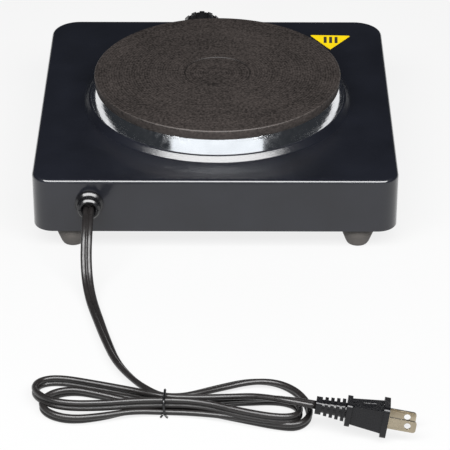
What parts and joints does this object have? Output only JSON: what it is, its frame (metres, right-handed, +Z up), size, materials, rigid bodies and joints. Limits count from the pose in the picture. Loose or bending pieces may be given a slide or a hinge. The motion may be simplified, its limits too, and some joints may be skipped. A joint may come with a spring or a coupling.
{
  "type": "hot plate burner",
  "caption": "Low square hot plate with a solid round cast-iron burner in a polished ring, a thermostat knob on the front, rubber feet, and a cord tied in a hank at the back.",
  "frame": {"origin": "middle of the footprint of the appliance (casing, knob and cord bushing) at the undersides of the feet; the cord lies outside it", "axes": "+Z up; -Y towards the user, where the knob is; +Y towards the rear, where the cord leaves; +X to the user's right as they face the knob"},
  "size_m": [0.2198, 0.4331, 0.0675],
  "materials": {
    "black_enamel": "semi-gloss, fine orange peel",
    "black_paint": "satin",
    "plated_steel": "zinc plated",
    "polished_steel": "polished stainless",
    "iron": "turned and coated",
    "heater_wire": "oxidised",
    "ceramic_white": "unglazed",
    "mild_steel": "plain",
    "shield_sheet": "bright",
    "phenolic": "moulded",
    "brass_strip": "plain",
    "contact_silver": "plain",
    "shaft_alloy": "turned",
    "knob_plastic": "satin",
    "white_mark": "moulded",
    "red_lens": "clear red",
    "clear_glass": "clear",
    "block_plastic": "moulded",
    "bushing_plastic": "moulded",
    "cord_vinyl": "satin vinyl",
    "plug_vinyl": "satin vinyl",
    "plug_metal": "nickel plated",
    "foot_rubber": "matt",
    "label_yellow": "printed film",
    "label_silver": "printed film",
    "wire_red": "braided sleeve",
    "wire_white": "braided sleeve",
    "wire_black": "braided sleeve"
  },
  "bodies": {
    "appliance": {"base_plate": "black_paint", "base_screws": "plated_steel", "block_screw": "plated_steel", "bracket_screws": "plated_steel", "centre_stud": "plated_steel", "clamp_bridge": "mild_steel", "cord_clamped_end": "cord_vinyl", "cord_gland": "bushing_plastic", "cord_hank": "cord_vinyl", "cord_lead": "cord_vinyl", "cord_tail": "cord_vinyl", "cord_tie": "bushing_plastic", "cover_nut": "plated_steel", "cutout_screws": "plated_steel", "cutout_wire": "wire_red", "element_cover": "mild_steel", "foot_front_left": "foot_rubber", "foot_front_right": "foot_rubber", "foot_nuts": "plated_steel", "foot_rear_left": "foot_rubber", "foot_rear_right": "foot_rubber", "foot_screws": "plated_steel", "hazard_label": "label_yellow", "heat_shield": "shield_sheet", "heater_live_wire": "wire_red", "heater_neutral_wire": "wire_white", "heating_coil": "heater_wire", "hot_plate": "iron", "housing": "black_enamel", "insulation_fill": "ceramic_white", "lamp_bulb": "clear_glass", "lamp_clip": "mild_steel", "lamp_lens": "red_lens", "lamp_wires": "wire_black", "plug_blades": "plug_metal", "plug_body": "plug_vinyl", "rating_label": "label_silver", "spill_ring": "polished_steel", "stud_nut": "plated_steel", "stud_washer": "plated_steel", "supply_wires": "wire_black", "terminal_beads": "ceramic_white", "terminal_block": "block_plastic", "terminal_clamps": "brass_strip", "terminal_pins": "heater_wire", "terminal_screws": "plated_steel", "thermal_cutout": "phenolic", "thermostat_blades": "brass_strip", "thermostat_bracket": "mild_steel", "thermostat_contacts": "contact_silver", "thermostat_stack": "ceramic_white", "thermostat_strap": "mild_steel", "thermostat_wire": "wire_red"},
    "control_knob": {"knob": "knob_plastic", "thermostat_shaft": "shaft_alloy", "knob_clip": "mild_steel", "knob_pointer": "white_mark"}
  },
  "joints": [
    {"name": "knob_turn", "type": "hinge", "parent": "appliance", "child": "control_knob", "pos_m": [0.0104, -0.1035, 0.032], "axis": [0, 1, 0], "range_deg": [0, 270]}
  ]
}
